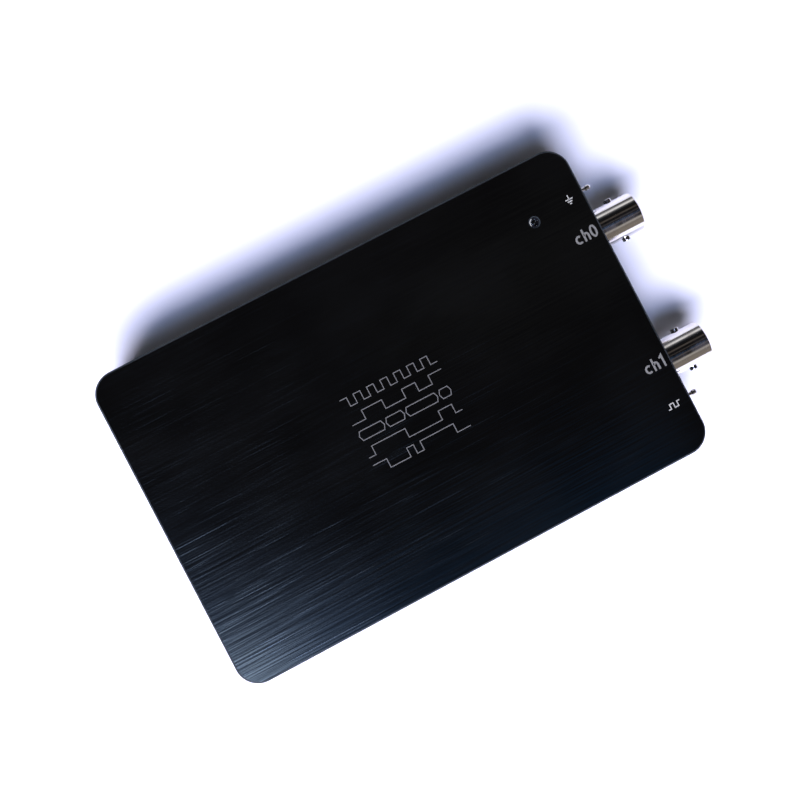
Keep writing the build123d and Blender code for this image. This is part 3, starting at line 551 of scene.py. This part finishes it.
def status_bezel():
    """A satin ring seated in the mouth of the status light's hole."""
    bm = bmesh.new()
    rings = []
    for i in range(BEZEL_STEPS):
        turn = 2 * math.pi * i / BEZEL_STEPS
        ring = []
        for j in range(WIRE_STEPS):
            roll = 2 * math.pi * j / WIRE_STEPS
            reach = BEZEL_RADIUS + BEZEL_WIRE * math.cos(roll)
            height = BEZEL_WIRE * math.sin(roll)
            ring.append(bm.verts.new((reach * math.cos(turn), reach * math.sin(turn), height)))
        rings.append(ring)
    for i in range(BEZEL_STEPS):
        one, two = rings[i], rings[(i + 1) % BEZEL_STEPS]
        for j in range(WIRE_STEPS):
            k = (j + 1) % WIRE_STEPS
            bm.faces.new((one[j], two[j], two[k], one[k])).smooth = True
    bmesh.ops.recalc_face_normals(bm, faces=bm.faces)
    mesh = bpy.data.meshes.new("status_bezel")
    bm.to_mesh(mesh)
    bm.free()
    mesh.materials.append(bezel_black())
    piece = bpy.data.objects.new("status_bezel", mesh)
    bpy.context.scene.collection.objects.link(piece)
    spot = middle("light_pipe")
    piece.location = (spot.x, spot.y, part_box("upper_shell")[1].z - BEZEL_SUNK)
    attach(piece, "instrument")


# ---------------------------------------------------------------- floor, lights and camera

FLOOR_HALF = 4.0
FLOOR_GAP = 0.02 * MM
BACKDROP = (0.97, 0.98, 1.0)
DARK = (0.007, 0.0065, 0.0065)
SLAT = (0.075, 0.066, 0.062)

# The blue highlight in the corner of the case's top is the mirror image of a wide blue glow, with a
# small paler core. Both are faint for matt surfaces, so that they don't fill the floor's shadows.
GLOW_DIRECTION = (-0.235, -0.295, 0.9262)
GLOW_COLOUR = (14.0, 19.0, 37.0)
GLOW_TIGHTNESS = 150.0
CORE_DIRECTION = (-0.17, -0.215, 0.9617)
CORE_COLOUR = (6.6, 5.6, 2.9)
CORE_TIGHTNESS = 600.0
GLOW_ON_MATT = 0.04
HAZE_COLOUR = (0.01, 0.095, 0.24)

# What the room shows round the X axis, from +Y over the top to -Y. The input sockets' barrels
# mirror it, because their reflections run towards x = 0.3.
PANELS_X = 0.3
PANELS = [
    (0.0, (0.4, 0.41, 0.44)), (0.025, (0.12, 0.12, 0.14)), (0.055, (0.1, 0.1, 0.12)),
    (0.1, (0.3, 0.3, 0.34)), (0.125, (0.85, 0.86, 0.9)), (0.165, (0.95, 0.95, 1.0)),
    (0.195, (0.1, 0.105, 0.12)), (0.25, (0.01, 0.011, 0.014)),
    (0.34, DARK), (0.36, SLAT), (0.39, SLAT), (0.405, DARK),
    (0.47, DARK), (0.485, SLAT), (0.5, DARK), (0.585, DARK),
    (0.6, (0.07, 0.06, 0.055)), (0.625, (0.06, 0.05, 0.045)), (0.645, DARK),
    (0.7, (0.03, 0.027, 0.024)),
    (0.735, (0.4, 0.38, 0.36)), (0.765, (0.38, 0.36, 0.34)), (0.8, (0.2, 0.18, 0.165)),
    (0.86, (0.24, 0.21, 0.19)), (0.96, (0.24, 0.215, 0.195)), (1.0, (0.28, 0.26, 0.24)),
]

# What the room shows elsewhere, from the horizon up.
WALLS = [
    (0.0, (0.15, 0.15, 0.16)), (0.08, (0.07, 0.07, 0.08)), (0.2, (0.03, 0.03, 0.035)),
    (0.55, (0.014, 0.014, 0.016)), (0.85, (0.005, 0.005, 0.005)),
]

# Where the camera of the photograph stands and looks, in the part's frame.
CAMERA_PLACE = (-0.02586, 0.00324, 0.29435)
CAMERA_LOOK = (0.0744, -0.0001, -0.9972)
CAMERA_UP = (0.4618, 0.8863, 0.0344)
CAMERA_LENS = 54.0


def lay_floor():
    bm = bmesh.new()
    bmesh.ops.create_grid(bm, x_segments=8, y_segments=8, size=FLOOR_HALF)
    mesh = bpy.data.meshes.new("floor")
    bm.to_mesh(mesh)
    bm.free()
    mesh.materials.append(white_floor())
    floor = bpy.data.objects.new("floor", mesh)
    bpy.context.scene.collection.objects.link(floor)
    floor.location.z = cad_box[0].z - FLOOR_GAP


def soft_light(name, direction, distance, half_width, half_height, turn, power, colour):
    """An oval soft light that shines on the object from a direction."""
    data = bpy.data.lights.new(name, "AREA")
    data.shape = "ELLIPSE"
    data.size = 2 * half_width
    data.size_y = 2 * half_height
    data.energy = power
    data.color = colour
    lamp = bpy.data.objects.new(name, data)
    bpy.context.scene.collection.objects.link(lamp)
    away = Vector(direction).normalized()
    lamp.location = away * distance
    lamp.rotation_mode = "QUATERNION"
    lamp.rotation_quaternion = away.to_track_quat("Z", "Y") @ Quaternion((0, 0, 1), turn)
    lamp.visible_camera = False
    return lamp


def ramp(t, value, stops):
    """Colours along a value from 0 to 1."""
    node = t.add("ShaderNodeValToRGB", {"Fac": value})
    elements = node.color_ramp.elements
    while len(elements) < len(stops):
        elements.new(0.5)
    for element, (place, colour) in zip(elements, stops):
        element.position = place
        element.color = (*colour, 1.0)
    return node.outputs["Color"]


def lobe(t, direction, centre, tightness, colour, strength):
    """A soft round glow about one direction."""
    toward = t.vector_math("DOT_PRODUCT", direction, centre)["Value"]
    near = t.math("POWER", t.math("MAXIMUM", toward, 0.0), tightness)
    return t.scale(colour, t.math("MULTIPLY", near, strength))


def light_room():
    """A dim room: panels that the barrels mirror, a blue glow and a blue haze that the plate mirrors.

    The camera sees a plain pale backdrop in its place, and so does anything that looks towards the
    horizon.
    """
    world = bpy.data.worlds.new("studio")
    bpy.context.scene.world = world
    t = Tree(world)
    direction = t.add("ShaderNodeTexCoord").outputs["Generated"]
    split = t.add("ShaderNodeSeparateXYZ", {"Vector": direction})
    x, y, z = (split.outputs[axis] for axis in "XYZ")
    around = t.math("MULTIPLY", t.math("ARCTAN2", z, y), 1 / math.pi)
    beside = t.math("ABSOLUTE", t.math("SUBTRACT", x, PANELS_X))
    elsewhere = t.spread(beside, 0.12, 0.3, 0.0, 1.0)
    lit = t.blend(elsewhere, ramp(t, around, PANELS), ramp(t, z, WALLS))

    path = t.add("ShaderNodeLightPath").outputs
    strength = t.spread(path["Is Diffuse Ray"], 0.0, 1.0, 1.0, GLOW_ON_MATT)
    glow = lobe(t, direction, GLOW_DIRECTION, GLOW_TIGHTNESS, GLOW_COLOUR, strength)
    core = lobe(t, direction, CORE_DIRECTION, CORE_TIGHTNESS, CORE_COLOUR, strength)
    band = t.math("MULTIPLY", t.spread(y, -0.1, -0.17, 0.0, 1.0), t.spread(y, -0.35, -0.22, 0.0, 1.0))
    band = t.math("MULTIPLY", band, t.spread(x, 0.27, 0.25, 0.0, 1.0))
    for light in (glow, core, t.scale(HAZE_COLOUR, band)):
        lit = t.vector_math("ADD", lit, light)["Vector"]

    horizon = t.math("MAXIMUM", path["Is Camera Ray"], t.spread(z, 0.06, 0.02, 0.0, 1.0))
    colour = t.blend(horizon, lit, BACKDROP)
    background = t.add("ShaderNodeBackground", {"Color": colour, "Strength": 1.0})
    t.add("ShaderNodeOutputWorld", {"Surface": background.outputs["Background"]})


def light_stage():
    light_room()
    soft_light("key_light", (-0.465, -0.6, 1.0), 1.5, 0.53, 0.34, 0.347, 64.0, (0.8, 0.79, 1.03))
    soft_light("left_light", (-0.95, 0.05, 0.3), 1.2, 0.3, 0.05, 0.0, 0.6, (1.0, 0.9, 0.94))


def aim_camera():
    data = bpy.data.cameras.new("camera")
    data.lens = CAMERA_LENS
    data.sensor_width = 36.0
    data.clip_start = 0.01
    camera = bpy.data.objects.new("camera", data)
    bpy.context.scene.collection.objects.link(camera)
    back = -Vector(CAMERA_LOOK).normalized()
    right = Vector(CAMERA_UP).cross(back).normalized()
    up = back.cross(right)
    turned = Matrix((right, up, back)).transposed().to_4x4()
    camera.matrix_world = Matrix.Translation(CAMERA_PLACE) @ turned
    bpy.context.scene.camera = camera


dress_frame()
print_marks()
status_bezel()
lay_floor()
light_stage()
aim_camera()
bpy.context.scene.view_settings.view_transform = "Standard"
